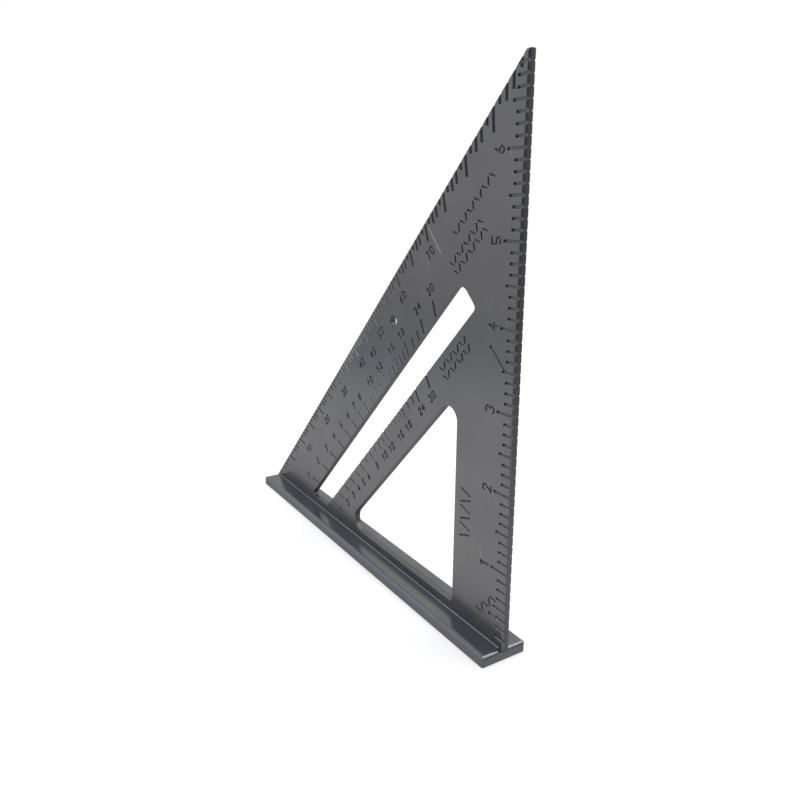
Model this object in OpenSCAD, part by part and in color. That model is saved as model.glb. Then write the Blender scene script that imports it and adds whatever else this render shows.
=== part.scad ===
// Seven inch rafter square: a marked triangular blade standing on a flat bar fence.
// The blade's foot stands in a shallow groove along the fence, its tenons pass through
// mortises and end flush with the underside, and a concave fillet bead runs along each side
// of the foot.
// Millimetres. +Z is up, X runs along the fence with the pivot corner at +X, and the
// near marked face looks towards -Y. The origin is the middle of the fence's underside.

/* [Blade] */
// Leg of the blade, from the fence's top face to the sharp meeting point of its outlines
leg = 179.4; // [150:0.1:320]
// Thickness of the blade
blade_t = 2.4; // [1.8:0.1:5]
// How far the tip is cut back, which leaves a small flat at the top
tip_cut = 1.6; // [0.6:0.1:4]
// How far the toe is cut back at the far end of the fence
toe_cut = 0.8; // [0.4:0.1:4]
// Radius that the flats follow which ease the rims along the ruled edge, tip and slope
rim_round = 0.6; // [0.2:0.05:0.8]
// Width of the arm along the sloping edge
outer_arm = 26.9; // [20:0.1:34]
// Width of the long slot beside that arm
slot_w = 11.3; // [7:0.1:15]
// Width of the inner arm between the slot and the triangular opening
inner_arm = 13.7; // [12:0.1:20]
// Width of the arm along the ruled edge
ruled_arm = 27.0; // [20:0.1:34]
// Distance from the ruled edge to the nearest corner of the slot's top end
slot_inset = 19.2; // [16:0.1:26]
// Height of the strip that closes both openings along the foot
foot_web = 3.2; // [2.2:0.1:8]
// Corner radius at the outer side of the slot's top end
slot_outer_r = 4.8; // [1:0.1:5]
// Corner radius at the inner side of the slot's top end
slot_inner_r = 1.5; // [0.5:0.1:5]
// Corner radius at the slot's foot
slot_foot_r = 1.2; // [0.5:0.1:3]
// Radius of the triangular opening's two sharp corners
opening_r = 4.8; // [1:0.1:7]
// Radius of the triangular opening's square corner
square_r = 2.0; // [0.5:0.1:5]
// Diameter of the small hole in the sloping arm
hole_d = 4.4; // [2:0.1:6]
// Distance of that hole's middle from the sloping edge
hole_in = 12.0; // [9:0.1:17]
// Angle at the pivot corner from the fence up to that hole
hole_angle = 55.1; // [10:0.1:70]

/* [Fence] */
// Width of the fence across the blade
fence_w = 18.2; // [14:0.1:30]
// Thickness of the fence
fence_t = 4.0; // [3:0.1:8]
// How far the ruled edge stands proud of the fence's end
edge_proud = 0.4; // [0:0.1:1.5]
// Radius round the fence's upper edges
top_round = 1.8; // [0.4:0.1:1.9]
// Radius round the fence's lower edges
under_round = 0.8; // [0.2:0.1:1]
// Radius of the fence's corners seen from above
corner_round = 2.0; // [0.5:0.1:3]
// Width of the pivot notch in the fence's end
notch_w = 0.9; // [0.6:0.1:2]
// Depth of the pivot notch below the fence's top face
notch_d = 1.1; // [0.6:0.1:2.4]
// Length of the pivot notch into the fence's end
notch_l = 1.6; // [0.8:0.1:3]

/* [Joint] */
// Number of tenons on the blade's foot
tenons = 5; // [2:1:8]
// Length of each tenon along the fence
tenon_l = 10; // [6:0.5:14]
// Distance from the fence's ends to the middle of the first and last tenons
tenon_inset = 14; // [10:0.5:24]
// Gap between a tenon and its mortise on every side
tenon_gap = 0.08; // [0.02:0.01:0.3]
// How far each end of a tenon is spread into its mortise's lower mouth
stake_c = 0.5; // [0.2:0.1:0.8]
// Radius of the concave fillet bead along the foot
bead_r = 0.5; // [0.3:0.1:2]
// Depth of the seat groove that the blade's foot and its beads stand in
groove_d = 0.2; // [0.1:0.1:0.8]
// Clear space between a bead and the seat groove's side
groove_gap = 0.05; // [0.02:0.01:0.3]

/* [Graduations] */
// Width of an inch or rafter graduation, which is a V groove
tick_w = 1.1; // [0.4:0.05:1.4]
// Width of a degree graduation
degree_w = 1.3; // [0.4:0.05:1.5]
// Depth of every graduation
tick_d = 0.7; // [0.2:0.05:0.75]
// Depth of the numerals and plain marks
mark_d = 0.4; // [0.2:0.05:0.6]
// Length of an eighth inch graduation
eighth_l = 4.4; // [2:0.1:5]
// Length of a half inch graduation
half_l = 6.0; // [3:0.1:7]
// Length of an inch graduation
inch_l = 7.6; // [4:0.1:9]
// Reach of a single degree graduation in from the sloping edge
degree_l = 2.3; // [1:0.1:3]
// Reach of a degree graduation between two of the single ones
pair_l = 3.9; // [2:0.1:5]
// Reach of a five degree graduation
five_l = 6.0; // [3:0.1:7]
// Reach of a numbered rafter graduation in from the slot
rafter_l = 4.9; // [3:0.1:6]
// Reach of a plain rafter graduation in from the slot
rafter_plain_l = 3.4; // [2:0.1:5]

/* [Numerals] */
// Height of the inch numerals
inch_num = 4.6; // [3:0.1:6]
// Height of the degree numerals
degree_num = 3.6; // [2.5:0.1:4.5]
// Height of the rafter numerals
rafter_num = 3.3; // [2.5:0.1:4]
// Width of a numeral's stroke
stroke = 0.7; // [0.3:0.05:0.8]
// Clear space between an inch graduation and its numeral
inch_gap = 0.9; // [0.4:0.1:2]
// Clear space between a degree graduation and its numeral
degree_gap = 1.8; // [0.4:0.1:2.4]
// Clear space between a common rafter graduation and its numeral
common_gap = 1.9; // [0.4:0.1:3]
// Clear space between a hip rafter graduation and its numeral
hip_gap = 1.1; // [0.4:0.1:3]

/* [Plain marks] */
// Height of the small plain strokes that fill the places of words
plain_h = 2.6; // [1.5:0.1:3.2]
// Spacing of the small plain strokes
plain_pitch = 2.4; // [2:0.1:4]
// Height of the large plain strokes on the ruled arm
large_h = 5.4; // [2.5:0.1:7]
// Spacing of the large plain strokes
large_pitch = 3.0; // [2.5:0.1:5]
// Diameter of a drilled dot
dot_d = 1.3; // [0.8:0.1:2]

/* [Hidden] */
$fn = 48;

metal = [0.36, 0.37, 0.38];
bead_metal = [0.42, 0.43, 0.44];

inch = 25.4;
eighth = inch / 8;
rise_run = 12;
hip_run = 17;
diagonal = sqrt(2);
over = 1;
lift = 0.1;
arc_step = 30;
digit_space = 0.7;

toe_u = leg - toe_cut;
overall_l = toe_u + edge_proud;
pivot_x = overall_l / 2;
fence_l = overall_l - edge_proud;
half_w = fence_w / 2;

// The sloping lines of the blade are all u + h = constant, where u is the distance
// from the ruled edge and h the height above the fence.
slot_outer = leg - diagonal * outer_arm;
slot_inner = slot_outer - diagonal * slot_w;
opening_line = slot_inner - diagonal * inner_arm;
slot_end = slot_inner - 2 * slot_inset;
tenon_pitch = (fence_l - 2 * tenon_inset) / (tenons - 1);
first_tenon = edge_proud + tenon_inset;
bead_from = edge_proud + notch_l;
groove_w = blade_t + 2 * (bead_r + groove_gap);

tip_h = leg - tip_cut;
rim_path = [[0, 0], [0, tip_h], [tip_cut, tip_h], [toe_u, toe_cut]];

// Degree graduations that carry a numeral, and the one whose numeral stands further in
degree_numbers = [10, 20, 30, 40, 50, 60, 70];
middle_degree = 45;
middle_in = 11.7;

// Rafter graduations that carry a numeral, and those that carry none
common_numbers = [1, 2, 3, 4, 5, 6, 7, 8, 10, 12, 15, 18, 24, 30];
common_plain = [9, 11, 13, 14, 16, 17, 20, 22];
hip_numbers = [1, 2, 3, 4, 5, 6, 8, 10, 12, 15, 18, 24, 30];
hip_plain = [7, 9, 11, 13, 14, 16, 17, 20, 22];

// Places and counts of the plain marks: across is h - u, and each line is a distance from
// its edge.
chain_in = 14.3;
chain_across = slot_end + 28;
chain_count = 11;
block_out = 4.9;
block_across = slot_end + 13.4;
block_count = 9;
hip_block_in = 5.5;
hip_block_across = opening_line - 2 * ruled_arm + 7.4;
hip_block_count = 8;
row_step = 3.4;
large_in = 5.7;
large_up = 34.8;
large_count = 6;
pivot_line = 20.8;
pivot_across = 2.2;
pivot_count = 5;
dot_line = 16.6;
leader_mark = 3.5 * inch;
leader_l = 9.7;
leader_angle = 42.5;

// Places a drawing of the blade, drawn as (u, h), upright on the fence.
// Its thickness goes from the blade's middle towards -Y.
module on_blade(from, thick)
    translate([pivot_x, 0, fence_t])
        mirror([1, 0, 0])
            rotate([90, 0, 0])
                translate([0, 0, from])
                    linear_extrude(height = thick)
                        children();

// Places solid tools on the blade's near face, or with far set on its far one. They are
// drawn as (u, h, out), where out is the distance out of that face.
module on_face(far)
    translate([pivot_x, (far ? 1 : -1) * blade_t / 2, fence_t])
        mirror([1, 0, 0])
            rotate([90, 0, 0])
                mirror([0, 0, far ? 1 : 0])
                    children();

// A disc in the corner at p whose two sides leave it along the directions a and b.
function corner_centre(p, a, b, r) =
    let (half = abs(a - b) / 2, mid = (a + b) / 2)
    p + r / sin(half) * [cos(mid), sin(mid)];

function corner_touch(p, a, b, r, side) =
    let (half = abs(a - b) / 2)
    p + r / tan(half) * [cos(side), sin(side)];

// The sliver that a rounded corner leaves out.
module corner_sliver(p, a, b, r)
    difference() {
        polygon([p, corner_touch(p, a, b, r, a), corner_centre(p, a, b, r),
                 corner_touch(p, a, b, r, b)]);
        translate(corner_centre(p, a, b, r))
            circle(r = r);
    }

module slot_shape() {
    foot_out = [slot_outer - foot_web, foot_web];
    foot_in = [slot_inner - foot_web, foot_web];
    top_in = [slot_inset, slot_inner - slot_inset];
    top_out = [(slot_outer - slot_end) / 2, (slot_outer + slot_end) / 2];
    difference() {
        polygon([foot_out, foot_in, top_in, top_out]);
        corner_sliver(top_out, 225, 315, slot_outer_r);
        corner_sliver(top_in, 45, -45, slot_inner_r);
        corner_sliver(foot_out, 135, 180, slot_foot_r);
        corner_sliver(foot_in, 0, 135, slot_foot_r);
    }
}

module opening_shape() {
    top = [ruled_arm, opening_line - ruled_arm];
    square_corner = [ruled_arm, foot_web];
    toe = [opening_line - foot_web, foot_web];
    difference() {
        polygon([top, square_corner, toe]);
        corner_sliver(top, 270, 315, opening_r);
        corner_sliver(square_corner, 0, 90, square_r);
        corner_sliver(toe, 135, 180, opening_r);
    }
}

// A tenon's outline, grown by gap. It starts at height top and runs on to low below the
// fence, and its ends spread at 45 degrees over the last part of the way.
function tenon_outline(i, gap, top, low) =
    let (mid = first_tenon + i * tenon_pitch, half = tenon_l / 2 + gap,
         foot = half + stake_c + low)
    [[mid + half, top], [mid + half, stake_c - fence_t], [mid + foot, -fence_t - low],
     [mid - foot, -fence_t - low], [mid - half, stake_c - fence_t], [mid - half, top]];

module blade_shape() {
    feet = [for (i = [tenons - 1 : -1 : 0]) each tenon_outline(i, 0, -groove_d, 0)];
    heel = [[edge_proud, -groove_d], [edge_proud, 0]];
    difference() {
        polygon(concat(rim_path, [[toe_u, -groove_d]], feet, heel));
        slot_shape();
        opening_shape();
        translate(ray_place(hole_angle, leg - diagonal * hole_in))
            circle(d = hole_d);
    }
}

// What easing the rim takes off one face along the outline from p to q. The blade lies on
// the right of that line, and the tool runs past both of its ends.
module rim_tool(p, q)
    translate(p)
        rotate(atan2(q[1] - p[1], q[0] - p[0]))
            translate([-over, 0, 0])
                rotate([90, 0, 90])
                    linear_extrude(height = norm(q - p) + 2 * over)
                        rim_section();

module rim_section() {
    flats = [for (a = [90 : -arc_step : 0]) rim_round * [cos(a) - 1, sin(a) - 1]];
    polygon(concat(flats, [[lift, -rim_round], [lift, lift], [-rim_round, lift]]));
}

module rim_tools()
    for (i = [1 : len(rim_path) - 1])
        rim_tool(rim_path[i - 1], rim_path[i]);

module mortise_shape()
    for (i = [0 : tenons - 1])
        polygon(tenon_outline(i, tenon_gap, over, over));

// The place where the ray from the pivot at angle a meets the sloping line u + h = line.
function ray_place(a, line) = line / (cos(a) + sin(a)) * [cos(a), sin(a)];

// The place on the sloping line u + h = line where h - u = across.
function line_place(line, across) = [line - across, line + across] / 2;

// A straight V groove of the given width at the face, from the origin along +X. Its tool
// reaches a little out of the face.
module v_groove(length, width) {
    half = width / 2 * (tick_d + lift) / tick_d;
    rotate([90, 0, 90])
        linear_extrude(height = length)
            polygon([[0, -tick_d], [half, lift], [-half, lift]]);
}

module inch_scale()
    for (k = [1 : floor((tip_h - tick_w) / eighth)])
        translate([-over, k * eighth, 0])
            v_groove((k % 8 == 0 ? inch_l : k % 4 == 0 ? half_l : eighth_l) + over, tick_w);

// A V groove along the ray from the pivot at angle a, between two sloping lines.
module ray_cut(a, low_line, high_line, width) {
    near_end = low_line / (cos(a) + sin(a));
    far_end = high_line / (cos(a) + sin(a));
    rotate(a)
        translate([near_end, 0, 0])
            v_groove(far_end - near_end, width);
}

function degree_reach(a) = a % 5 == 0 ? five_l : (a % 5 == 2 || a % 5 == 3) ? pair_l : degree_l;

module degree_scale()
    for (a = [1 : 89])
        ray_cut(a, leg - diagonal * degree_reach(a), leg + over, degree_w);

// Rafter graduations on a side of the slot. Sense is 1 on the side away from the pivot
// and -1 on the side towards it.
module rafter_scale(numbers, plain, run, line, sense) {
    for (n = numbers)
        rafter_cut(atan(n / run), line, sense * diagonal * rafter_l, sense);
    for (n = plain)
        rafter_cut(atan(n / run), line, sense * diagonal * rafter_plain_l, sense);
}

module rafter_cut(a, line, reach, sense)
    if (sense > 0)
        ray_cut(a, line - over, line + reach, tick_w);
    else
        ray_cut(a, line + reach, line + over, tick_w);

function unit(v) = v / norm(v);

function left_of(v) = [-v[1], v[0]];

function arc_points(c, r, a, b) =
    let (n = ceil(abs(b - a) / arc_step))
    [for (i = [0 : n]) c + r * [cos(a + (b - a) * i / n), sin(a + (b - a) * i / n)]];

// A point of a stroke's side at bend i of its path. Side is 1 on the left and -1 on the right.
function side_point(path, i, side) =
    let (before = left_of(unit(path[i] - path[i - 1])), after = left_of(unit(path[i + 1] - path[i])),
         mid = unit(before + after))
    path[i] + side * stroke / 2 / (mid * before) * mid;

// The end of a stroke at p, which goes round from its left side when it leaves along v.
function stroke_end(p, v) =
    [for (t = [90, 30, -30, -90]) p + stroke / 2 * (cos(t) * unit(v) + sin(t) * left_of(unit(v)))];

// A stroke of a numeral along a path of two or more points, with blunt rounded ends.
module pen(path) {
    last = len(path) - 1;
    bends = last > 1 ? [1 : last - 1] : [];
    back = last > 1 ? [last - 1 : -1 : 1] : [];
    polygon(concat(
        stroke_end(path[last], path[last] - path[last - 1]),
        [for (i = back) side_point(path, i, -1)],
        stroke_end(path[0], path[0] - path[1]),
        [for (i = bends) side_point(path, i, 1)]));
}

// The outline of a tall loop of radius r whose two round ends are centred reach above and below.
module loop_shape(reach, r)
    polygon(concat(arc_points([0, reach], r, 0, 180), arc_points([0, -reach], r, 180, 360)));

module disc_shape(c, r)
    polygon([for (a = [0 : arc_step : 360 - arc_step]) c + r * [cos(a), sin(a)]]);

// One numeral of height tall, centred on the origin. c is half its height between
// stroke middles, b the radius of its bowls and w half a stroke. The angles are where its
// bowls start and end.
module digit(n, tall) {
    c = (tall - stroke) / 2;
    b = c / 2;
    w = stroke / 2;
    if (n == 0)
        difference() {
            loop_shape(b, b + w);
            loop_shape(b, b - w);
        }
    if (n == 1) {
        pen([[0, -c], [0, c]]);
        pen([[0, c], [-b, b]]);
    }
    if (n == 2) {
        pen(concat(arc_points([0, b], b, 170, -40), [[-b, -c]]));
        pen([[-b, -c], [b, -c]]);
    }
    if (n == 3) {
        pen(arc_points([0, b], b, 150, -65));
        pen(arc_points([0, -b], b, 65, -150));
    }
    if (n == 4) {
        pen([[b / 2, -c], [b / 2, c]]);
        pen([[b / 2, c], [-b, -b / 2]]);
        pen([[-b, -b / 2], [b * 4 / 3, -b / 2]]);
    }
    if (n == 5) {
        pen([[b, c], [-b, c]]);
        pen([[-b, c], [-b, 0]]);
        pen(arc_points([0, -b], b, 130, -150));
    }
    if (n == 6)
        difference() {
            union() {
                disc_shape([0, -b], b + w);
                pen([[-b, -b], [b / 3, c]]);
            }
            disc_shape([0, -b], b - w);
        }
    if (n == 7) {
        pen([[-b, c], [b, c]]);
        pen([[b, c], [-b / 3, -c]]);
    }
    if (n == 8)
        difference() {
            union() {
                disc_shape([0, b], b + w);
                disc_shape([0, -b], b + w);
            }
            disc_shape([0, b], b - w);
            disc_shape([0, -b], b - w);
        }
    if (n == 9)
        rotate(180)
            digit(6, tall);
}

// Spacing of the two numerals of a number: a numeral's width and a little clear space.
function digit_step(tall) = (tall - stroke) / 2 + stroke + digit_space * stroke;

// A whole number of one or two numerals, centred on the origin.
module number(n, tall)
    if (n < 10)
        digit(n, tall);
    else {
        translate([-digit_step(tall) / 2, 0])
            digit(floor(n / 10), tall);
        translate([digit_step(tall) / 2, 0])
            digit(n % 10, tall);
    }

// Turns a number so that it reads from the near face or, with far set, from the back.
module facing(angle, far)
    if (far)
        rotate(angle + 180)
            children();
    else
        rotate(angle)
            mirror([0, 1, 0])
                children();

module inch_numerals(far)
    for (k = [1 : floor((tip_h - inch_num) / inch)])
        translate([inch_l + inch_gap + inch_num / 2, k * inch])
            facing(90, far)
                number(k, inch_num);

module sloping_number(n, a, line, tall, far)
    translate(ray_place(a, line))
        facing(135, far)
            number(n, tall);

module degree_numerals(far) {
    for (a = degree_numbers)
        sloping_number(a, a, leg - diagonal * (five_l + degree_gap + degree_num / 2), degree_num, far);
    sloping_number(middle_degree, middle_degree, leg - diagonal * middle_in, degree_num, far);
}

module rafter_numerals(numbers, run, line, sense, gap)
    for (n = numbers)
        sloping_number(n, atan(n / run),
                       line + sense * diagonal * (rafter_l + gap + rafter_num / 2),
                       rafter_num, false);

// A row of plain strokes that lean to and fro, centred on the origin along +X.
module plain_row(count, pitch, tall)
    for (i = [0 : count - 1]) {
        mid = (i - (count - 1) / 2) * pitch;
        lean = (i % 2 == 0 ? 1 : -1) * pitch / 4;
        pen([[mid - lean, (stroke - tall) / 2], [mid + lean, (tall - stroke) / 2]]);
    }

module sloping_row(line, across, count)
    translate(line_place(line, across))
        rotate(135)
            plain_row(count, plain_pitch, plain_h);

module sloping_block(line, across, count)
    for (side = [-1, 1])
        sloping_row(line + side * diagonal * row_step / 2, across, count);

// Small marks beside the scales: plain strokes where words would be, a dot by the pivot
// and a leader with a dot at its end that points at one graduation.
module small_marks() {
    sloping_row(leg - diagonal * chain_in, chain_across, chain_count);
    sloping_block(slot_outer + diagonal * block_out, block_across, block_count);
    sloping_block(slot_inner - diagonal * hip_block_in, hip_block_across, hip_block_count);
    translate([ruled_arm - large_in, foot_web + large_up])
        rotate(90)
            plain_row(large_count, large_pitch, large_h);
    sloping_row(pivot_line, pivot_across, pivot_count);
    translate(line_place(dot_line, pivot_across))
        circle(d = dot_d);
    translate([eighth_l, leader_mark])
        rotate(leader_angle) {
            pen([[0, 0], [leader_l, 0]]);
            translate([leader_l, 0])
                circle(d = dot_d);
        }
}

module near_cuts() {
    rim_tools();
    inch_scale();
    degree_scale();
    rafter_scale(common_numbers, common_plain, rise_run, slot_outer, 1);
    rafter_scale(hip_numbers, hip_plain, hip_run, slot_inner, -1);
}

module far_cuts() {
    rim_tools();
    inch_scale();
    degree_scale();
}

module near_marks() {
    inch_numerals(false);
    degree_numerals(false);
    rafter_numerals(common_numbers, rise_run, slot_outer, 1, common_gap);
    rafter_numerals(hip_numbers, hip_run, slot_inner, -1, hip_gap);
    small_marks();
}

module far_marks() {
    inch_numerals(true);
    degree_numerals(true);
}

module blade()
    color(metal)
        difference() {
            on_blade(-blade_t / 2, blade_t)
                blade_shape();
            on_blade(blade_t / 2 - mark_d, mark_d + over)
                near_marks();
            on_blade(-blade_t / 2 - over, mark_d + over)
                far_marks();
            on_face(false)
                near_cuts();
            on_face(true)
                far_cuts();
        }

// A rectangle with its low corner at the origin and its four corners rounded.
module soft_rectangle(wide, tall, low_r, high_r)
    difference() {
        square([wide, tall]);
        corner_sliver([0, 0], 0, 90, low_r);
        corner_sliver([wide, 0], 90, 180, low_r);
        corner_sliver([wide, tall], 180, 270, high_r);
        corner_sliver([0, tall], 270, 360, high_r);
    }

module fence_bar()
    intersection() {
        translate([-pivot_x, -half_w, 0])
            linear_extrude(height = fence_t)
                soft_rectangle(fence_l, fence_w, corner_round, corner_round);
        translate([-pivot_x, half_w, 0])
            rotate([90, 0, 0])
                linear_extrude(height = fence_w)
                    soft_rectangle(fence_l, fence_t, under_round, top_round);
        translate([-pivot_x, -half_w, 0])
            rotate([90, 0, 90])
                linear_extrude(height = fence_l)
                    soft_rectangle(fence_w, fence_t, under_round, top_round);
    }

module fence()
    color(metal)
        difference() {
            fence_bar();
            on_blade(-blade_t / 2 - tenon_gap, blade_t + 2 * tenon_gap)
                mortise_shape();
            translate([-pivot_x - over, -groove_w / 2, fence_t - groove_d])
                cube([fence_l + 2 * over, groove_w, groove_d + over]);
            translate([pivot_x - edge_proud - notch_l, -blade_t / 2 - notch_w, fence_t - notch_d])
                cube([notch_l + over, notch_w, notch_d + over]);
        }

// The bead's section has its corner on the foot line and runs out to -x and up.
module bead_section()
    difference() {
        translate([-bead_r, 0])
            square([bead_r, bead_r]);
        translate([-bead_r, bead_r])
            circle(r = bead_r);
    }

module foot_bead()
    color(bead_metal)
        translate([pivot_x - toe_u, -blade_t / 2, fence_t - groove_d])
            rotate([90, 0, 90])
                linear_extrude(height = toe_u - bead_from)
                    bead_section();

module near_foot_bead()
    foot_bead();

module far_foot_bead()
    mirror([0, 1, 0])
        foot_bead();

blade();
fence();
near_foot_bead();
far_foot_bead();
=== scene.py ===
"""Dresses a seven inch rafter square: a marked triangular blade standing on a flat bar fence.

Lengths are metres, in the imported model's frame. X runs along the fence with the pivot
corner at +X, the fully marked face of the blade looks towards -Y, and Z is up. Angles are
degrees, and colours are linear.
"""

import logging
import math
from dataclasses import dataclass
from enum import Enum

import bpy
from mathutils import Matrix, Vector


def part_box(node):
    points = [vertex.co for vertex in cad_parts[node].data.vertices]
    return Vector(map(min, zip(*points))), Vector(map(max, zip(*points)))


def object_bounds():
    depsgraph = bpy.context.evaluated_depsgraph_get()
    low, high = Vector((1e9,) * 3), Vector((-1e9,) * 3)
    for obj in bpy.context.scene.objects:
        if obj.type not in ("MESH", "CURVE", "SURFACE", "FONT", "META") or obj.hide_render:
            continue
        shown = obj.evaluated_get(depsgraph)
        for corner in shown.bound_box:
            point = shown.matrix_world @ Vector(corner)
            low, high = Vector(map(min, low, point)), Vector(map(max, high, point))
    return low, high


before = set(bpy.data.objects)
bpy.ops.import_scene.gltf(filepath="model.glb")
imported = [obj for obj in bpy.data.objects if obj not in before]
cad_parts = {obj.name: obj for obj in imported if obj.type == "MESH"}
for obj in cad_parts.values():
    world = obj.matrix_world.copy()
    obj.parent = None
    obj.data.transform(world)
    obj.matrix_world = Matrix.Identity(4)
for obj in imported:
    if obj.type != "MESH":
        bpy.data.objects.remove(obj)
CAD_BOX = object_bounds()

logging.basicConfig(level=logging.INFO, format="%(name)s: %(message)s")
LOG = logging.getLogger("rafter_square")

Colour = tuple[float, float, float]
Triple = tuple[float, float, float]
Span = tuple[float, float]

MM = 0.001
WHITE: Colour = (1.0, 1.0, 1.0)
NOISE_MIDDLE = 0.5
COLUMN_WIDTH = 180

# A Mix node has a set of sockets for each type of value, under the same names. These are
# the numbers of the first and the second input and of the output.
MIX_SOCKETS = {"RGBA": (6, 7, 2), "VECTOR": (4, 5, 1)}
NUMBER_RESULTS = ("DOT_PRODUCT", "LENGTH", "DISTANCE")


class Metal(Enum):
    """The metal slots of the record that the square's pieces take their finish from."""

    BLADE = "blade_metal"
    FENCE = "fence_metal"
    BEAD = "bead_metal"


class Sockets:
    """Short ways to add nodes to one node tree and to join them."""

    def __init__(self, tree: bpy.types.NodeTree) -> None:
        """Keeps the tree that the nodes go into.

        Args:
            tree: The node tree of a material, a world or a group.
        """
        self.tree = tree
        self.column = 0

    def add(self, kind: str, **settings: object) -> bpy.types.Node:
        """Adds a node.

        Args:
            kind: The node's type name, such as ShaderNodeMath.
            settings: Node properties by name.

        Returns:
            The new node.
        """
        node = self.tree.nodes.new(kind)
        node.location = (self.column * COLUMN_WIDTH, 0)
        self.column += 1
        for name, value in settings.items():
            setattr(node, name, value)
        return node

    def feed(self, socket: bpy.types.NodeSocket, value: object) -> None:
        """Joins a socket to another one, or sets its value.

        Args:
            socket: The input socket.
            value: An output socket, a number, a vector or an RGB colour.
        """
        if isinstance(value, bpy.types.NodeSocket):
            self.tree.links.new(value, socket)
        elif socket.type == "RGBA":
            socket.default_value = (*value, 1.0)
        else:
            socket.default_value = value

    def math(self, operation: str, *values: object) -> bpy.types.NodeSocket:
        """Adds a Math node.

        Args:
            operation: The node's operation.
            values: Its inputs in order.

        Returns:
            The result's socket.
        """
        node = self.add("ShaderNodeMath", operation=operation)
        for socket, value in zip(node.inputs, values):
            self.feed(socket, value)
        return node.outputs[0]

    def vector(self, operation: str, *values: object) -> bpy.types.NodeSocket:
        """Adds a Vector Math node.

        Args:
            operation: The node's operation.
            values: Its inputs in order.

        Returns:
            The socket of the result, which is a number or a vector.
        """
        node = self.add("ShaderNodeVectorMath", operation=operation)
        for socket, value in zip(node.inputs, values):
            self.feed(socket, value)
        return node.outputs["Value" if operation in NUMBER_RESULTS else "Vector"]

    def combine(self, **parts: object) -> bpy.types.NodeSocket:
        """Puts a vector together.

        Args:
            parts: Its parts by axis, X, Y or Z. An axis that isn't given is 0.

        Returns:
            The vector's socket.
        """
        node = self.add("ShaderNodeCombineXYZ")
        for axis, value in parts.items():
            self.feed(node.inputs[axis], value)
        return node.outputs[0]

    def separate(self, vector: object) -> bpy.types.NodeOutputs:
        """Takes a vector apart.

        Args:
            vector: The vector or its socket.

        Returns:
            The sockets of its parts, by axis.
        """
        node = self.add("ShaderNodeSeparateXYZ")
        self.feed(node.inputs[0], vector)
        return node.outputs

    def turn(self, vector: object, angle: object) -> bpy.types.NodeSocket:
        """Turns a vector in the plane of the blade's faces.

        Args:
            vector: The vector or its socket.
            angle: The angle in radians, or its socket.

        Returns:
            The turned vector's socket.
        """
        node = self.add("ShaderNodeVectorRotate", rotation_type="Y_AXIS")
        self.feed(node.inputs["Vector"], vector)
        self.feed(node.inputs["Angle"], angle)
        return node.outputs[0]

    def ramp(self, value: object, low: float, high: float, to_low: float = 0.0,
             to_high: float = 1.0) -> bpy.types.NodeSocket:
        """Maps a value smoothly from one range to another.

        Args:
            value: The value or its socket.
            low: The value that gives to_low.
            high: The value that gives to_high.
            to_low: The result at low.
            to_high: The result at high.

        Returns:
            The result's socket.
        """
        node = self.add("ShaderNodeMapRange", interpolation_type="SMOOTHSTEP")
        for name, item in (("Value", value), ("From Min", low), ("From Max", high),
                           ("To Min", to_low), ("To Max", to_high)):
            self.feed(node.inputs[name], item)
        return node.outputs["Result"]

    def mix(self, share: object, first: object, second: object, kind: str = "RGBA",
            blend: str = "MIX") -> bpy.types.NodeSocket:
        """Mixes two colours or two vectors.

        Args:
            share: How much of the second one shows, from 0 to 1.
            first: The first colour or vector.
            second: The second colour or vector.
            kind: RGBA for colours and VECTOR for vectors.
            blend: How the second colour is laid over the first.

        Returns:
            The mixed value's socket.
        """
        node = self.add("ShaderNodeMix", data_type=kind, blend_type=blend)
        first_input, second_input, result = MIX_SOCKETS[kind]
        for index, value in ((0, share), (first_input, first), (second_input, second)):
            self.feed(node.inputs[index], value)
        return node.outputs[result]

    def noise(self, vector: object, scale: float, detail: float = 2.0,
              roughness: float = 0.5) -> bpy.types.NodeSocket:
        """Adds a noise texture.

        Args:
            vector: Where the noise is read.
            scale: Its scale, per metre.
            detail: How many octaves it has.
            roughness: How strong the fine octaves are.

        Returns:
            The noise's value, from 0 to 1.
        """
        node = self.add("ShaderNodeTexNoise")
        for name, value in (("Vector", vector), ("Scale", scale), ("Detail", detail),
                            ("Roughness", roughness)):
            self.feed(node.inputs[name], value)
        return node.outputs["Fac"]


@dataclass(frozen=True)
class Step:
    """A soft step in a brightness, from one place to another."""

    start: float
    end: float
    change: float


def stepped(nodes: Sockets, first: float, value: object,
            steps: tuple[Step, ...]) -> bpy.types.NodeSocket:
    """Adds soft steps to a brightness.

    Args:
        nodes: The nodes that the steps go into.
        first: The brightness before the first step.
        value: The value that the steps follow, or its socket.
        steps: The steps.

    Returns:
        The brightness.
    """
    level: object = first
    for step in steps:
        rise = nodes.ramp(value, step.start, step.end, 0.0, step.change)
        level = nodes.math("ADD", level, rise)
    return level


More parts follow.
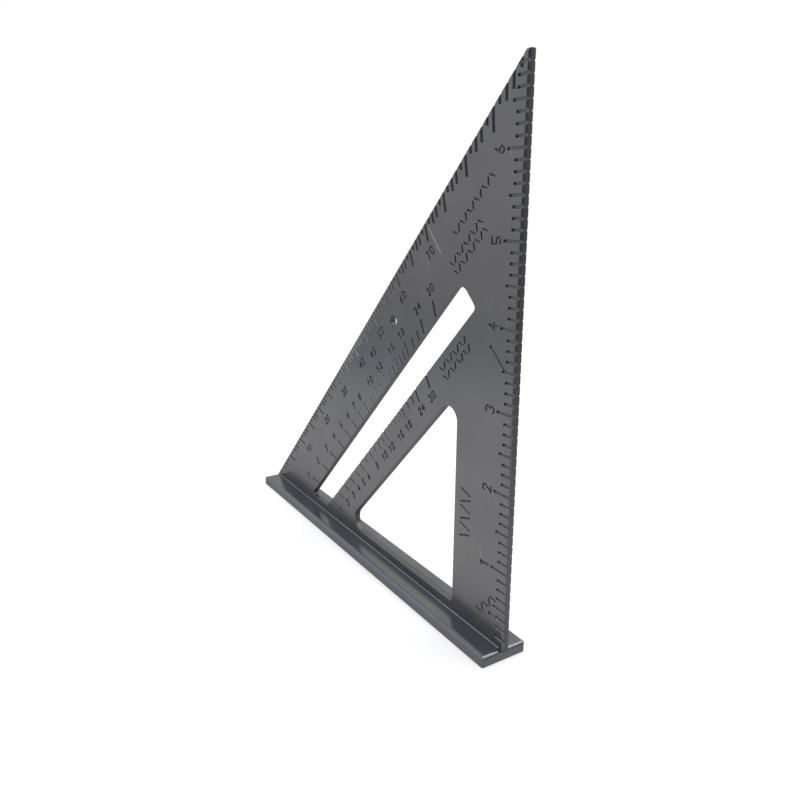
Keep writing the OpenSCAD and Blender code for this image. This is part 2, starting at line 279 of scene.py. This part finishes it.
class Effect:
    """A shader node group that several finishes use, built once."""

    name = "effect"
    inputs: tuple[tuple[str, str, object], ...] = ()
    outputs: tuple[tuple[str, str], ...] = ()

    def __init__(self) -> None:
        """Builds the group with its named sockets."""
        self.group = bpy.data.node_groups.new(self.name, "ShaderNodeTree")
        for label, kind, value in self.inputs:
            socket = self.group.interface.new_socket(label, in_out="INPUT", socket_type=kind)
            if value is not None:
                socket.default_value = value
        for label, kind in self.outputs:
            self.group.interface.new_socket(label, in_out="OUTPUT", socket_type=kind)
        nodes = Sockets(self.group)
        given = nodes.add("NodeGroupInput").outputs
        made = nodes.add("NodeGroupOutput").inputs
        for label, socket in self.build(nodes, given).items():
            nodes.feed(made[label], socket)

    def build(self, nodes: Sockets, given: bpy.types.NodeOutputs) -> dict[str, object]:
        """Makes the group's inside.

        Args:
            nodes: The group's nodes.
            given: The group's inputs.

        Returns:
            The socket for each output's name.
        """
        raise NotImplementedError

    def place(self, nodes: Sockets, **values: object) -> bpy.types.NodeOutputs:
        """Places the effect in a material.

        Args:
            nodes: The material's nodes.
            values: The inputs, by name with underscores for spaces.

        Returns:
            The effect's outputs.
        """
        node = nodes.add("ShaderNodeGroup", node_tree=self.group, label=self.name)
        for label, value in values.items():
            nodes.feed(node.inputs[label.replace("_", " ")], value)
        return node.outputs


class EdgeWearAndHighlight(Effect):
    """Where handling has rubbed the edges bright, which also paints a highlight along the edges.

    An edge counts by how far the rounded normal is turned from the flat one, as the cosine
    where wear and painted highlight start and where they are full. A noise leaves them in patches.
    """

    name = "edge wear"
    inputs = (
        ("Place", "NodeSocketVector", None),
        ("Radius", "NodeSocketFloat", 0.3 * MM),
        ("Breakup Scale", "NodeSocketFloat", 400.0),
        ("Evenness", "NodeSocketFloat", 0.5),
    )
    outputs = (("Wear And Highlight", "NodeSocketFloat"), ("Soft Normal", "NodeSocketVector"))
    samples = 6
    turned: Span = (0.985, 0.78)
    patchy_from = 0.75
    patchy_width = 0.2

    def build(self, nodes: Sockets, given: bpy.types.NodeOutputs) -> dict[str, object]:
        """Compares the rounded normal with the flat one and breaks the result up.

        Args:
            nodes: The group's nodes.
            given: The group's inputs.

        Returns:
            The mask of wear and painted highlight, and the rounded normal.
        """
        rounded = nodes.add("ShaderNodeBevel", samples=self.samples)
        nodes.feed(rounded.inputs["Radius"], given["Radius"])
        flat = nodes.add("ShaderNodeNewGeometry")
        turn = nodes.vector("DOT_PRODUCT", rounded.outputs[0], flat.outputs["Normal"])
        edge = nodes.ramp(turn, *self.turned)
        breakup = nodes.noise(given["Place"], given["Breakup Scale"], detail=4.0, roughness=0.6)
        threshold = nodes.math("SUBTRACT", self.patchy_from, given["Evenness"])
        kept = nodes.ramp(nodes.math("SUBTRACT", breakup, threshold), 0.0, self.patchy_width)
        return {"Wear And Highlight": nodes.math("MULTIPLY", edge, kept), "Soft Normal": rounded.outputs[0]}


class Grain(Effect):
    """The fine directional grain that drawing or grinding leaves in a metal face."""

    name = "metal grain"
    inputs = (
        ("Place", "NodeSocketVector", None),
        ("Direction", "NodeSocketFloat", 0.0),
        ("Scale", "NodeSocketFloat", 3000.0),
        ("Length", "NodeSocketFloat", 20.0),
    )
    outputs = (("Grain", "NodeSocketFloat"), ("Speckle", "NodeSocketFloat"))

    def build(self, nodes: Sockets, given: bpy.types.NodeOutputs) -> dict[str, object]:
        """Stretches one noise along the grain and leaves another one round.

        Args:
            nodes: The group's nodes.
            given: The group's inputs.

        Returns:
            The grain's and the speckle's values.
        """
        turned = nodes.turn(given["Place"], given["Direction"])
        shrink = nodes.combine(X=nodes.math("DIVIDE", 1.0, given["Length"]), Y=1.0, Z=1.0)
        along = nodes.vector("MULTIPLY", turned, shrink)
        return {
            "Grain": nodes.noise(along, given["Scale"], detail=3.0, roughness=0.6),
            "Speckle": nodes.noise(given["Place"], given["Scale"]),
        }


class Clouding(Effect):
    """Slow changes of sheen and tone over a finished face.

    The spans are the noise's values between which a cloud or a smudge comes up.
    """

    name = "clouding"
    inputs = (
        ("Place", "NodeSocketVector", None),
        ("Size", "NodeSocketFloat", 25.0 * MM),
    )
    outputs = (("Cloud", "NodeSocketFloat"), ("Smudge", "NodeSocketFloat"))
    cloudy: Span = (0.3, 0.7)
    smudged: Span = (0.5, 0.75)
    smudge_scale = 2.7

    def build(self, nodes: Sockets, given: bpy.types.NodeOutputs) -> dict[str, object]:
        """Reads a broad noise, and a second one for finger smudges.

        Args:
            nodes: The group's nodes.
            given: The group's inputs.

        Returns:
            The cloud's and the smudge's values, from 0 to 1.
        """
        scale = nodes.math("DIVIDE", 1.0, given["Size"])
        cloud = nodes.noise(given["Place"], scale, roughness=0.45)
        finer_scale = nodes.math("MULTIPLY", scale, self.smudge_scale)
        finer = nodes.noise(given["Place"], finer_scale, detail=3.0, roughness=0.55)
        return {"Cloud": nodes.ramp(cloud, *self.cloudy),
                "Smudge": nodes.ramp(finer, *self.smudged)}


class Scratches(Effect):
    """Sparse hairline scratches that run roughly one way.

    A scratch is where a stretched noise comes within half_line of its middle. They show
    only in patches, where a broader noise lies above the span called patchy.
    """

    name = "hairline scratches"
    inputs = (
        ("Place", "NodeSocketVector", None),
        ("Direction", "NodeSocketFloat", 0.0),
        ("Spacing", "NodeSocketFloat", 6.0 * MM),
    )
    outputs = (("Scratch", "NodeSocketFloat"),)
    stretch: Triple = (0.06, 0.3, 1.0)
    half_line = 0.008
    patch_scale = 0.6
    patchy: Span = (0.56, 0.64)

    def build(self, nodes: Sockets, given: bpy.types.NodeOutputs) -> dict[str, object]:
        """Keeps the thin line where a stretched noise crosses its middle, in patches.

        Args:
            nodes: The group's nodes.
            given: The group's inputs.

        Returns:
            The scratch mask.
        """
        turned = nodes.turn(given["Place"], given["Direction"])
        long_way = nodes.vector("MULTIPLY", turned, self.stretch)
        scale = nodes.math("DIVIDE", 1.0, given["Spacing"])
        line = nodes.noise(long_way, scale, detail=1.0, roughness=0.4)
        off_line = nodes.math("ABSOLUTE", nodes.math("SUBTRACT", line, NOISE_MIDDLE))
        thin = nodes.ramp(off_line, self.half_line, 0.0)
        broad_scale = nodes.math("MULTIPLY", scale, self.patch_scale)
        broad = nodes.noise(given["Place"], broad_scale)
        return {"Scratch": nodes.math("MULTIPLY", thin, nodes.ramp(broad, *self.patchy))}


@dataclass(frozen=True)
class Effects:
    """The effects that the finishes share."""

    wear_and_highlight: EdgeWearAndHighlight
    grain: Grain
    clouding: Clouding
    scratches: Scratches


@dataclass(frozen=True)
class MetalFinish:
    """A dark metal finish, given by its colours, its gloss and how it has aged.

    The grain runs at grain_direction from the fence, and the scratches cross it at
    scratch_turn. The fields called share are how much of a colour shows at most.
    """

    name: str
    metallic: float
    grazing: float
    metal: Colour
    bright: Colour
    shade: Colour
    roughness: float
    cloud_roughness: float
    grain_direction: float
    grain_length: float
    grain_roughness: float
    bump: float
    edge_radius: float
    wear_and_highlight_share: float
    scratch_share: float
    scratch_turn: float = 24.0
    scratch_depth: float = 1.5
    cloud_share: float = 0.55
    speckle_share: float = 0.22
    speckled: Span = (0.35, 0.75)
    bump_distance: float = 0.02 * MM

    def surface(self, nodes: Sockets, effects: Effects,
                place: bpy.types.NodeSocket) -> dict[str, bpy.types.NodeSocket]:
        """Makes the colour, roughness and normal that every metal of the square shares.

        Args:
            nodes: The material's nodes.
            effects: The shared effects.
            place: The place on the piece.

        Returns:
            The sockets called colour, roughness, height, normal and wear_and_highlight.
        """
        wear_and_highlight = effects.wear_and_highlight.place(nodes, Place=place, Radius=self.edge_radius)
        grain = effects.grain.place(nodes, Place=place, Length=self.grain_length,
                                    Direction=math.radians(self.grain_direction))
        cloud = effects.clouding.place(nodes, Place=place)
        scratch_direction = math.radians(self.grain_direction + self.scratch_turn)
        scratch = effects.scratches.place(nodes, Place=place, Direction=scratch_direction)
        clouded = nodes.math("MULTIPLY", cloud["Cloud"], self.cloud_share)
        tone = nodes.mix(clouded, self.metal, self.shade)
        speckle = nodes.ramp(grain["Speckle"], *self.speckled, 0.0, self.speckle_share)
        speckled = nodes.mix(speckle, tone, self.shade)
        # Edge wear, which also paints a bright highlight along every edge, and the scratches
        # lighten the colour towards bright.
        rubbed_and_highlit = nodes.math("MULTIPLY", wear_and_highlight["Wear And Highlight"], self.wear_and_highlight_share)
        scored = nodes.math("MULTIPLY", scratch["Scratch"], self.scratch_share)
        bare_and_highlit = nodes.math("MAXIMUM", rubbed_and_highlit, scored)
        colour = nodes.mix(bare_and_highlit, speckled, self.bright)
        rough = nodes.math("MULTIPLY_ADD", cloud["Smudge"], self.cloud_roughness, self.roughness)
        off_middle = nodes.math("SUBTRACT", grain["Grain"], NOISE_MIDDLE)
        rough = nodes.math("MULTIPLY_ADD", off_middle, self.grain_roughness, rough)
        height = nodes.math("SUBTRACT", grain["Grain"],
                            nodes.math("MULTIPLY", scored, self.scratch_depth))
        return {"colour": colour, "roughness": rough, "height": height,
                "normal": wear_and_highlight["Soft Normal"], "wear_and_highlight": bare_and_highlit}

    def close(self, nodes: Sockets, parts: dict[str, bpy.types.NodeSocket]) -> None:
        """Joins the sockets to a metallic Principled shader.

        Args:
            nodes: The material's nodes.
            parts: The sockets called colour, roughness, height and normal.
        """
        bump = nodes.add("ShaderNodeBump")
        bump.inputs["Strength"].default_value = self.bump
        bump.inputs["Distance"].default_value = self.bump_distance
        nodes.feed(bump.inputs["Height"], parts["height"])
        nodes.feed(bump.inputs["Normal"], parts["normal"])
        shader = nodes.add("ShaderNodeBsdfPrincipled")
        shader.inputs["Metallic"].default_value = self.metallic
        shader.inputs["Specular Tint"].default_value = (*(self.grazing,) * 3, 1.0)
        nodes.feed(shader.inputs["Base Color"], parts["colour"])
        nodes.feed(shader.inputs["Roughness"], parts["roughness"])
        nodes.feed(shader.inputs["Normal"], bump.outputs["Normal"])
        output = nodes.add("ShaderNodeOutputMaterial")
        nodes.feed(output.inputs["Surface"], shader.outputs["BSDF"])

    def empty(self) -> tuple[bpy.types.Material, Sockets, bpy.types.NodeSocket]:
        """Starts the material.

        Returns:
            The material, its nodes and the place on the piece.
        """
        material = bpy.data.materials.new(self.name)
        material.use_nodes = True
        material.node_tree.nodes.clear()
        nodes = Sockets(material.node_tree)
        return material, nodes, nodes.add("ShaderNodeTexCoord").outputs["Object"]

    def make(self, effects: Effects) -> bpy.types.Material:
        """Builds the plain form of the finish.

        Args:
            effects: The shared effects.

        Returns:
            The material.
        """
        material, nodes, place = self.empty()
        self.close(nodes, self.surface(nodes, effects, place))
        return material


@dataclass(frozen=True)
class Streak:
    """A thin light rub mark on the marked face, from one place to another.

    It is full over the core share of its half width. It has come up at the share fades_in
    of its length and starts to go at fades_out. The span called side is how far out from
    the blade's middle it begins and is full, which keeps it off the far face.
    """

    start: Vector = Vector((43.5, 0.0, 134.4)) * MM
    end: Vector = Vector((52.1, 0.0, 125.1)) * MM
    half_width: float = 0.42 * MM
    core: float = 0.3
    fades_in: float = 0.1
    fades_out: float = 0.85
    side: Span = (1.0 * MM, 1.15 * MM)

    def mask(self, nodes: Sockets, place: bpy.types.NodeSocket,
             out: bpy.types.NodeSocket) -> bpy.types.NodeSocket:
        """Picks out the streak.

        Args:
            nodes: The material's nodes.
            place: The place on the blade.
            out: How far out the place lies on the marked side.

        Returns:
            The streak's mask.
        """
        along = (self.end - self.start).normalized()
        across = along.cross(Vector((0.0, 1.0, 0.0)))
        reach = (self.end - self.start).length
        ways = []
        for way in (along, across):
            how_far = nodes.vector("DOT_PRODUCT", place, way)
            ways.append(nodes.math("SUBTRACT", how_far, self.start.dot(way)))
        beside = nodes.ramp(nodes.math("ABSOLUTE", ways[1]), self.half_width,
                            self.core * self.half_width)
        begun = nodes.ramp(ways[0], 0.0, self.fades_in * reach)
        ended = nodes.ramp(ways[0], reach, self.fades_out * reach)
        mask = nodes.math("MULTIPLY", beside, nodes.math("MULTIPLY", begun, ended))
        return nodes.math("MULTIPLY", mask, nodes.ramp(out, *self.side))


@dataclass(frozen=True)
class BladeFinish(MetalFinish):
    """The blade's finish, with its cut marks, the painted shade in them and on the walls beside
    them, and its streak.

    Cuts are told by how deep a place lies under the face, and walls, floors and faces by
    how squarely their normal looks out of the blade. The spans called steep, flat, face,
    open_wall and level are shares of the normal, from where a kind of place starts to
    where it is fully that kind. The darkening in the cuts and on the walls near the face is
    painted shade, partly also a darker cut finish.
    """

    half_thickness: float = 1.2 * MM
    cut_depth: float = 0.45 * MM
    cut_edges: Span = (0.1, 0.9)
    wall_depth: Span = (0.50 * MM, 0.42 * MM)
    steep: Span = (0.20, 0.05)
    flat: Span = (0.80, 0.95)
    face: Span = (0.85, 0.95)
    open_wall: Span = (0.40, 0.55)
    level: Span = (0.50, 0.70)
    # Painted shade, partly a darker cut finish: the colour that the cuts and the walls near the
    # face are darkened towards.
    cut_shade: Colour = (0.045, 0.046, 0.050)
    cut_shade_share: float = 0.36
    floor_shade_share: float = 0.55
    wall_shade_share: float = 0.45
    cut_roughness: float = 0.5
    lip: float = 0.17 * MM
    worn_from: float = 40.0 * MM
    worn_to: float = -70.0 * MM
    streak: Streak = Streak()
    streak_share: float = 0.75
    rim: Step = Step(88.2 * MM, 89.2 * MM, 0.9)

    def rounded(self, nodes: Sockets, normal: bpy.types.NodeSocket, facing: bpy.types.NodeOutputs,
                depth: bpy.types.NodeSocket, along: bpy.types.NodeSocket) -> bpy.types.NodeSocket:
        """Rounds the graduations that run level, and leans the face beside the ruled edge.

        Args:
            nodes: The material's nodes.
            normal: The normal so far.
            facing: The parts of the flat normal.
            depth: How far the place lies under the face.
            along: Where the place lies along the fence.

        Returns:
            The rounded normal.
        """
        square_on = nodes.math("ABSOLUTE", facing["Y"])
        level = nodes.ramp(nodes.math("ABSOLUTE", facing["Z"]), *self.level)
        open_wall = nodes.ramp(square_on, *self.open_wall)
        lip = nodes.ramp(along, self.worn_from, self.worn_to, self.lip, 0.0)
        under = nodes.ramp(nodes.math("SUBTRACT", depth, lip), 0.0, self.lip)
        share = nodes.math("MULTIPLY", nodes.math("MULTIPLY", level, open_wall), under)
        outward = nodes.combine(Y=nodes.math("SIGN", facing["Y"]))
        opened = nodes.mix(share, normal, outward, kind="VECTOR")
        beside_edge = nodes.math("MULTIPLY", nodes.ramp(square_on, *self.face),
                                 stepped(nodes, 0.0, along, (self.rim,)))
        leaning = nodes.vector("ADD", opened, nodes.combine(X=beside_edge))
        return nodes.vector("NORMALIZE", leaning)

    def make(self, effects: Effects) -> bpy.types.Material:
        """Builds the finish with its cuts and walls, darkened with painted shade.

        Args:
            effects: The shared effects.

        Returns:
            The material.
        """
        material, nodes, place = self.empty()
        parts = self.surface(nodes, effects, place)
        axes = nodes.separate(place)
        facing = nodes.separate(nodes.add("ShaderNodeTexCoord").outputs["Normal"])
        out_from_middle = nodes.math("ABSOLUTE", axes["Y"])
        depth = nodes.math("SUBTRACT", self.half_thickness, out_from_middle)
        inside = nodes.ramp(out_from_middle, *(self.half_thickness - edge * self.cut_depth
                                               for edge in self.cut_edges))
        square_on = nodes.math("ABSOLUTE", facing["Y"])
        # Painted shade: cut floors and the walls near the face are darkened by depth and facing;
        # the same share also roughens them.
        wall = nodes.math("MULTIPLY", nodes.ramp(square_on, *self.steep),
                          nodes.ramp(depth, *self.wall_depth))
        flat = nodes.ramp(square_on, *self.flat, self.cut_shade_share, self.floor_shade_share)
        floor = nodes.math("MULTIPLY", nodes.math("SUBTRACT", 1.0, wall), inside)
        cut_shade_and_dullness = nodes.math("MAXIMUM", nodes.math("MULTIPLY", floor, flat),
                          nodes.math("MULTIPLY", wall, self.wall_shade_share))
        cut_shade_and_dullness = nodes.math("MULTIPLY", cut_shade_and_dullness, nodes.math("SUBTRACT", 1.0, parts["wear_and_highlight"]))
        parts["colour"] = nodes.mix(cut_shade_and_dullness, parts["colour"], self.cut_shade)
        out = nodes.math("MULTIPLY", axes["Y"], -1.0)
        rub = nodes.math("MULTIPLY", self.streak.mask(nodes, place, out), self.streak_share)
        parts["colour"] = nodes.mix(rub, parts["colour"], self.bright)
        parts["normal"] = self.rounded(nodes, parts["normal"], facing, depth, axes["X"])
        rougher = nodes.math("MULTIPLY", cut_shade_and_dullness, self.cut_roughness)
        parts["roughness"] = nodes.math("ADD", parts["roughness"], rougher)
        self.close(nodes, parts)
        return material


@dataclass(frozen=True)
class Blade:
    """The marked blade."""

    node: str = "blade"
    slot: Metal = Metal.BLADE
    finish: MetalFinish = BladeFinish(
        name="dark satin blade metal",
        metallic=0.8,
        grazing=0.7,
        metal=(0.1985, 0.198, 0.201),
        bright=(0.42, 0.43, 0.44),
        shade=(0.167, 0.168, 0.175),
        roughness=0.24,
        cloud_roughness=0.08,
        grain_direction=90.0,
        grain_length=14.0,
        grain_roughness=0.10,
        bump=0.25,
        edge_radius=0.22 * MM,
        wear_and_highlight_share=0.55,
        scratch_share=0.30,
    )


@dataclass(frozen=True)
class Fence:
    """The flat bar that the blade stands on."""

    node: str = "fence"
    slot: Metal = Metal.FENCE
    finish: MetalFinish = MetalFinish(
        name="dark polished fence metal",
        metallic=0.68,
        grazing=0.7,
        metal=(0.178, 0.181, 0.193),
        bright=(0.50, 0.51, 0.52),
        shade=(0.154, 0.157, 0.169),
        roughness=0.20,
        cloud_roughness=0.08,
        grain_direction=0.0,
        grain_length=30.0,
        grain_roughness=0.08,
        bump=0.2,
        edge_radius=0.30 * MM,
        wear_and_highlight_share=0.6,
        scratch_share=0.25,
    )


@dataclass(frozen=True)
class FootBead:
    """One of the two fillet beads along the blade's foot."""

    node: str
    slot: Metal = Metal.BEAD
    finish: MetalFinish = MetalFinish(
        name="smooth bead metal",
        metallic=0.85,
        grazing=0.8,
        metal=(0.190, 0.192, 0.208),
        bright=(0.50, 0.51, 0.52),
        shade=(0.130, 0.132, 0.146),
        roughness=0.28,
        cloud_roughness=0.10,
        grain_direction=0.0,
        grain_length=10.0,
        grain_roughness=0.12,
        bump=0.3,
        edge_radius=0.15 * MM,
        wear_and_highlight_share=0.4,
        scratch_share=0.0,
    )


@dataclass(frozen=True)
class Square:
    """The whole square: its blade, its fence and the two foot beads."""

    effects: Effects
    pieces: tuple[Blade | Fence | FootBead, ...] = (
        Blade(),
        Fence(),
        FootBead("near_foot_bead"),
        FootBead("far_foot_bead"),
    )

    def dress(self) -> None:
        """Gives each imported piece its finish."""
        made: dict[str, bpy.types.Material] = {}
        for piece in self.pieces:
            finish = piece.finish
            if finish.name not in made:
                made[finish.name] = finish.make(self.effects)
            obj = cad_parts[piece.node]
            obj.data.materials.clear()
            obj.data.materials.append(made[finish.name])
            low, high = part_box(piece.node)
            size = " x ".join(f"{(b - a) / MM:.1f}" for a, b in zip(low, high))
            LOG.info("%s: %s mm, %s", piece.node, size, finish.name)


@dataclass(frozen=True)
class Lamp:
    """A soft square lamp that looks at the middle of the rafter square."""

    name: str
    place: Triple
    side: float
    watts: float

    def hang(self, target: Vector) -> None:
        """Makes the lamp.

        Args:
            target: The point that it shines at.
        """
        data = bpy.data.lights.new(self.name, "AREA")
        data.shape = "SQUARE"
        data.size = self.side
        data.energy = self.watts
        lamp = bpy.data.objects.new(self.name, data)
        lamp.location = self.place
        lamp.rotation_mode = "QUATERNION"
        lamp.rotation_quaternion = (target - lamp.location).to_track_quat("-Z", "Y")
        bpy.context.scene.collection.objects.link(lamp)
        LOG.info("lamp %s: %.1f W", self.name, self.watts)


@dataclass(frozen=True)
class Patch:
    """A soft round patch of the room that the metal mirrors in a tone of its own.

    It is full within the core angle from its middle and ends at the reach angle.
    """

    towards: Triple
    core: float
    reach: float
    colour: Colour

    def over(self, nodes: Sockets, direction: bpy.types.NodeSocket,
             room: object) -> bpy.types.NodeSocket:
        """Lays the patch over the room.

        Args:
            nodes: The world's nodes.
            direction: The direction that is looked in.
            room: The room's colour so far.

        Returns:
            The room's colour with the patch.
        """
        nearness = nodes.vector("DOT_PRODUCT", direction, Vector(self.towards).normalized())
        share = nodes.ramp(nearness, math.cos(math.radians(self.reach)),
                           math.cos(math.radians(self.core)))
        return nodes.mix(share, room, self.colour)


class Room(Effect):
    """The room that the metal mirrors, in each direction from the square.

    Its brightness is level below the horizon and changes by the steps above it.
    """

    name = "room"
    inputs = (("Direction", "NodeSocketVector", None),)
    outputs = (("Room", "NodeSocketColor"),)
    level = 0.72
    steps = (Step(0.12, 0.17, -0.12), Step(0.30, 0.50, 0.20))
    patches = (
        Patch((0.70, -0.68, 0.18), 32.0, 44.0, (0.07, 0.08, 0.12)),
        Patch((0.95, -0.15, 0.08), 20.0, 36.0, (0.06, 0.07, 0.11)),
        Patch((0.76, 0.64, 0.08), 14.0, 36.0, (0.28, 0.28, 0.30)),
        Patch((-0.24, -0.79, 0.56), 8.0, 25.0, (1.9, 1.9, 1.9)),
        Patch((-0.76, -0.46, 0.46), 10.0, 22.0, (0.94, 0.98, 1.15)),
        Patch((-0.76, 0.46, 0.46), 14.0, 30.0, (0.84, 0.84, 0.80)),
    )

    def build(self, nodes: Sockets, given: bpy.types.NodeOutputs) -> dict[str, object]:
        """Steps the room's brightness up from the horizon and lays the patches over it.

        Args:
            nodes: The group's nodes.
            given: The group's inputs.

        Returns:
            The room's colour.
        """
        direction = nodes.vector("NORMALIZE", given["Direction"])
        level = stepped(nodes, self.level, nodes.separate(direction)["Z"], self.steps)
        grey = nodes.add("ShaderNodeCombineColor")
        for socket in grey.inputs:
            nodes.feed(socket, level)
        room = grey.outputs[0]
        for patch in self.patches:
            room = patch.over(nodes, direction, room)
        return {"Room": room}


@dataclass(frozen=True)
class Studio:
    """The pale floor, the surroundings and the lamps.

    The floor shows pale to the camera. The metal mirrors it as a glow in the tones of
    floor_steps, with a painted shadow beside the bar and bluish round the spot, and sees the
    room in it further out.
    """

    room: Room
    floor_reach: float = 6.0
    floor_colour: Colour = (0.5, 0.5, 0.5)
    floor_glow: float = 0.62
    floor_roughness: float = 0.9
    floor_gloss: float = 0.1
    floor_mirrored: float = 0.90
    floor_steps: tuple[Step, ...] = (Step(0.22, 0.46, -0.38), Step(0.6, 1.6, 0.17))
    floor_room: Step = Step(0.15, 0.50, 1.0)
    bar_shade: float = 0.72
    bar_step: Step = Step(9.0 * MM, 28.0 * MM, 0.28)
    spot: Triple = (-0.34, -0.21, 0.0)
    spot_step: Step = Step(0.16, 0.03, 1.0)
    spot_tint: Colour = (0.80, 0.97, 1.14)
    fill: Colour = (0.73, 0.74, 0.80)
    lamps: tuple[Lamp, ...] = (
        Lamp("overhead", (-0.10, 0.15, 0.85), 0.50, 2.0),
        Lamp("edge light", (0.38, 0.42, 0.62), 0.30, 0.9),
    )

    def mirrored_floor(self, nodes: Sockets,
                       place: bpy.types.NodeSocket) -> bpy.types.NodeSocket:
        """Makes the glow that the metal mirrors in place of the floor, with a painted shadow
        beside the bar.

        Args:
            nodes: The floor material's nodes.
            place: The place on the floor.

        Returns:
            The socket of its shader.
        """
        away = nodes.vector("LENGTH", place)
        near = (self.room.level,) * 3
        room = self.room.place(nodes, Direction=place)["Room"]
        colour = nodes.mix(stepped(nodes, 0.0, away, (self.floor_room,)), near, room)
        from_spot = nodes.vector("DISTANCE", place, self.spot)
        tinted = stepped(nodes, 0.0, from_spot, (self.spot_step,))
        colour = nodes.mix(tinted, colour, self.spot_tint, blend="MULTIPLY")
        # Painted shadow: the mirrored glow is darker beside the bar.
        beside_bar = nodes.math("ABSOLUTE", nodes.separate(place)["Y"])
        level = nodes.math("MULTIPLY", stepped(nodes, self.floor_mirrored, away, self.floor_steps),
                           stepped(nodes, self.bar_shade, beside_bar, (self.bar_step,)))
        mirrored = nodes.add("ShaderNodeEmission")
        nodes.feed(mirrored.inputs["Color"], colour)
        nodes.feed(mirrored.inputs["Strength"], nodes.math("DIVIDE", level, self.room.level))
        return mirrored.outputs["Emission"]

    def floor_material(self) -> bpy.types.Material:
        """Makes the floor's material, which looks pale and keeps the square's soft shadow.

        Returns:
            The material.
        """
        material = bpy.data.materials.new("pale floor")
        material.use_nodes = True
        shader = material.node_tree.nodes["Principled BSDF"]
        shader.inputs["Base Color"].default_value = (*self.floor_colour, 1.0)
        shader.inputs["Roughness"].default_value = self.floor_roughness
        shader.inputs["Specular IOR Level"].default_value = self.floor_gloss
        shader.inputs["Emission Color"].default_value = (*WHITE, 1.0)
        nodes = Sockets(material.node_tree)
        path = nodes.add("ShaderNodeLightPath").outputs
        glow = nodes.math("MULTIPLY", path["Is Camera Ray"], self.floor_glow)
        nodes.feed(shader.inputs["Emission Strength"], glow)
        place = nodes.add("ShaderNodeTexCoord").outputs["Object"]
        either = nodes.add("ShaderNodeMixShader")
        for socket, value in zip(either.inputs, (path["Is Glossy Ray"], shader.outputs["BSDF"],
                                                 self.mirrored_floor(nodes, place))):
            nodes.feed(socket, value)
        output = material.node_tree.nodes["Material Output"]
        nodes.feed(output.inputs["Surface"], either.outputs["Shader"])
        return material

    def lay_floor(self) -> None:
        """Makes the floor."""
        reach = self.floor_reach
        corners = [(-reach, -reach, 0), (reach, -reach, 0), (reach, reach, 0), (-reach, reach, 0)]
        mesh = bpy.data.meshes.new("floor")
        mesh.from_pydata(corners, [], [(0, 1, 2, 3)])
        mesh.materials.append(self.floor_material())
        floor = bpy.data.objects.new("floor", mesh)
        bpy.context.scene.collection.objects.link(floor)

    def light_world(self) -> None:
        """Makes surroundings that show white, fill the scene and have a room for the metal."""
        world = bpy.data.worlds.new("surroundings")
        bpy.context.scene.world = world
        world.use_nodes = True
        world.node_tree.nodes.clear()
        nodes = Sockets(world.node_tree)
        direction = nodes.add("ShaderNodeTexCoord").outputs["Generated"]
        room = self.room.place(nodes, Direction=direction)["Room"]
        path = nodes.add("ShaderNodeLightPath").outputs
        shown = nodes.math("MAXIMUM", path["Is Camera Ray"], path["Is Transmission Ray"])
        lit = nodes.mix(shown, self.fill, WHITE)
        background = nodes.add("ShaderNodeBackground")
        nodes.feed(background.inputs["Color"], nodes.mix(path["Is Glossy Ray"], lit, room))
        output = nodes.add("ShaderNodeOutputWorld")
        nodes.feed(output.inputs["Surface"], background.outputs["Background"])

    def set_up(self, target: Vector) -> None:
        """Builds the whole studio.

        Args:
            target: The middle of the square.
        """
        self.lay_floor()
        self.light_world()
        for lamp in self.lamps:
            lamp.hang(target)
        bpy.context.scene.view_settings.view_transform = "Standard"


@dataclass(frozen=True)
class PhotoCamera:
    """The camera that sees the square as the photograph does."""

    place: Triple = (0.23850, -0.13598, 0.13894)
    azimuth: float = 57.436
    elevation: float = 11.727
    roll: float = 0.645
    focal_pixels: float = 704.33
    image_pixels: float = 800.0
    middle_row: float = 357.7
    sensor: float = 36.0
    clip: Span = (0.01, 50.0)

    def axes(self) -> Matrix:
        """Works out the way that the camera looks.

        Returns:
            The rotation matrix, with the camera's right, up and back as its columns.
        """
        turn, drop, roll = (math.radians(v) for v in (self.azimuth, self.elevation, self.roll))
        forward = Vector((-math.sin(turn) * math.cos(drop), math.cos(turn) * math.cos(drop),
                          -math.sin(drop)))
        level = Vector((math.cos(turn), math.sin(turn), 0.0))
        above = level.cross(forward)
        right = math.cos(roll) * level + math.sin(roll) * above
        up = math.cos(roll) * above - math.sin(roll) * level
        return Matrix((right, up, -forward)).transposed()

    def stand(self) -> None:
        """Makes the camera and gives it to the scene."""
        data = bpy.data.cameras.new("photo_camera")
        data.sensor_width = self.sensor
        data.lens = self.sensor * self.focal_pixels / self.image_pixels
        data.shift_y = (self.middle_row - self.image_pixels / 2) / self.image_pixels
        data.clip_start, data.clip_end = self.clip
        camera = bpy.data.objects.new("photo_camera", data)
        camera.matrix_world = Matrix.Translation(Vector(self.place)) @ self.axes().to_4x4()
        bpy.context.scene.collection.objects.link(camera)
        bpy.context.scene.camera = camera
        LOG.info("camera: %.2f mm lens", data.lens)


def main() -> None:
    """Builds the effects, dresses the square and sets up the studio and the camera."""
    effects = Effects(EdgeWearAndHighlight(), Grain(), Clouding(), Scratches())
    Square(effects).dress()
    low, high = CAD_BOX
    Studio(Room()).set_up((low + high) / 2)
    PhotoCamera().stand()


if __name__ == "__main__":
    main()
